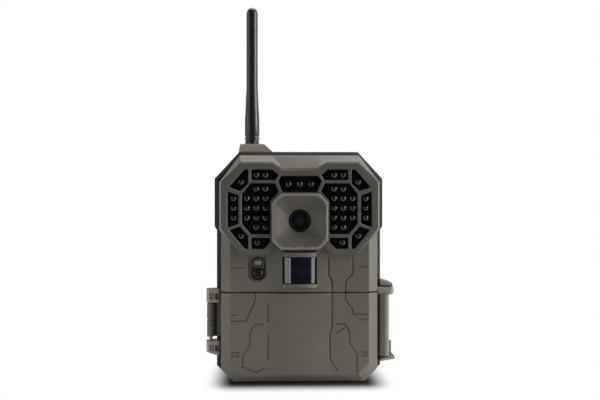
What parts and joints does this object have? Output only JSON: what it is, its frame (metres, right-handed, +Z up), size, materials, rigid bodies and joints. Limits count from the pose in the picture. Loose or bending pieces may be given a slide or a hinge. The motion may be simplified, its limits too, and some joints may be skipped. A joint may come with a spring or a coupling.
{
  "type": "trail camera",
  "caption": "Weatherproof trail camera: octagonal infrared head with hooded lens, motion sensor, side-hinged battery door with latch, and screw-on antenna.",
  "frame": {"origin": "middle of the housing in plan, within 1 mm of the middle of the whole, at the flat bottom that it stands on", "axes": "+Z up along the antenna, -Y out of the lens, +X to the right of someone facing the lens"},
  "size_m": [0.1198, 0.069, 0.2415],
  "materials": {
    "tan_housing": "fine moulded texture, grey-brown",
    "tan_lever": "smooth moulded, grey-green",
    "ir_window": "smooth, nearly black infrared filter",
    "circuit_board": "coated board",
    "black_plastic": "satin black",
    "dark_plastic": "fine moulded texture",
    "lens_glass": "coated, clear",
    "indicator_white": "milky light guide",
    "grey_plastic": "satin grey",
    "seal_rubber": "matt",
    "antenna_rubber": "satin",
    "steel": "bright",
    "brass": "turned",
    "cell_wrap": "plain wrapped cell"
  },
  "bodies": {
    "housing": {"rear_housing": "tan_housing", "front_housing": "tan_housing", "ir_bezel": "tan_housing", "lens_hood": "tan_housing", "ir_window_left": "ir_window", "ir_window_right": "ir_window", "ir_window_top": "ir_window", "led_board_left": "circuit_board", "led_board_right": "circuit_board", "led_board_top": "circuit_board", "lens_barrel": "black_plastic", "lens_glass": "lens_glass", "sensor_board": "circuit_board", "pir_lens": "ir_window", "pir_sensor": "steel", "indicator_bezel": "black_plastic", "indicator_led": "indicator_white", "light_sensor": "black_plastic", "main_board": "circuit_board", "door_seal": "seal_rubber", "hinge_pin": "steel", "latch_pin": "steel", "sma_connector": "brass", "control_panel": "dark_plastic", "lcd_window": "lens_glass", "lcd_display": "grey_plastic", "card_slot": "steel", "usb_port": "steel", "dc_jack": "black_plastic", "tripod_insert": "brass", "housing_screw_1": "steel", "housing_screw_2": "steel", "housing_screw_3": "steel", "housing_screw_4": "steel"},
    "door": {"door": "tan_housing"},
    "latch": {"latch_lever": "tan_lever"},
    "antenna_collar": {"antenna_seal": "seal_rubber"},
    "antenna": {"antenna_whip": "antenna_rubber"},
    "button_menu": {"button_menu": "grey_plastic"},
    "button_up": {"button_up": "grey_plastic"},
    "button_down": {"button_down": "grey_plastic"},
    "button_ok": {"button_ok": "grey_plastic"},
    "mode_switch": {"mode_switch": "black_plastic"},
    "memory_card": {"memory_card": "black_plastic"},
    "night_filter": {"ir_cut_filter": "lens_glass"},
    "port_cover": {"port_cover": "seal_rubber"},
    "tray": {"battery_tray": "dark_plastic", "contact_left": "steel", "contact_right": "steel", "battery_1": "cell_wrap", "battery_2": "cell_wrap", "battery_3": "cell_wrap", "battery_4": "cell_wrap", "battery_5": "cell_wrap", "battery_6": "cell_wrap"}
  },
  "joints": [
    {"name": "door_hinge", "type": "hinge", "parent": "housing", "child": "door", "pos_m": [-0.0563, -0.0156, 0.0377], "axis": [0, 0, -1], "range_deg": [0, 110]},
    {"name": "latch_hinge", "type": "hinge", "parent": "housing", "child": "latch", "pos_m": [0.0554, -0.0086, 0.0355], "axis": [0, 0, 1], "range_deg": [0, 100]},
    {"name": "antenna_rise", "type": "slide", "parent": "housing", "child": "antenna_collar", "axis": [0, 0, 1], "range_m": [0, 0.00564]},
    {"name": "antenna_spin", "type": "hinge", "parent": "antenna_collar", "child": "antenna", "pos_m": [-0.0302, 0.004, 0.1528], "axis": [0, 0, 1], "range_deg": [0, 2890]},
    {"name": "menu_press", "type": "slide", "parent": "housing", "child": "button_menu", "axis": [0, 1, 0], "range_m": [0, 0.0006], "stiffness_N_per_m": 700, "springref_m": -0.0004},
    {"name": "up_press", "type": "slide", "parent": "housing", "child": "button_up", "axis": [0, 1, 0], "range_m": [0, 0.0006], "stiffness_N_per_m": 700, "springref_m": -0.0004},
    {"name": "down_press", "type": "slide", "parent": "housing", "child": "button_down", "axis": [0, 1, 0], "range_m": [0, 0.0006], "stiffness_N_per_m": 700, "springref_m": -0.0004},
    {"name": "ok_press", "type": "slide", "parent": "housing", "child": "button_ok", "axis": [0, 1, 0], "range_m": [0, 0.0006], "stiffness_N_per_m": 700, "springref_m": -0.0004},
    {"name": "mode_slide", "type": "slide", "parent": "housing", "child": "mode_switch", "axis": [1, 0, 0], "range_m": [0, 0.0056]},
    {"name": "card_slide", "type": "slide", "parent": "housing", "child": "memory_card", "axis": [0, -1, 0], "range_m": [0, 0.012]},
    {"name": "filter_slide", "type": "slide", "parent": "housing", "child": "night_filter", "axis": [1, 0, 0], "range_m": [0, 0.009]},
    {"name": "cover_hinge", "type": "hinge", "parent": "housing", "child": "port_cover", "pos_m": [-0.026, 0.0185, 0.0009], "axis": [1, 0, 0], "range_deg": [0, 90]},
    {"name": "tray_slide", "type": "slide", "parent": "housing", "child": "tray", "axis": [0, -1, 0], "range_m": [0, 0.013]}
  ],
  "couplings": [
    {"joint": "antenna_spin", "follows": "antenna_rise", "rad_per_m": 8904.7}
  ]
}
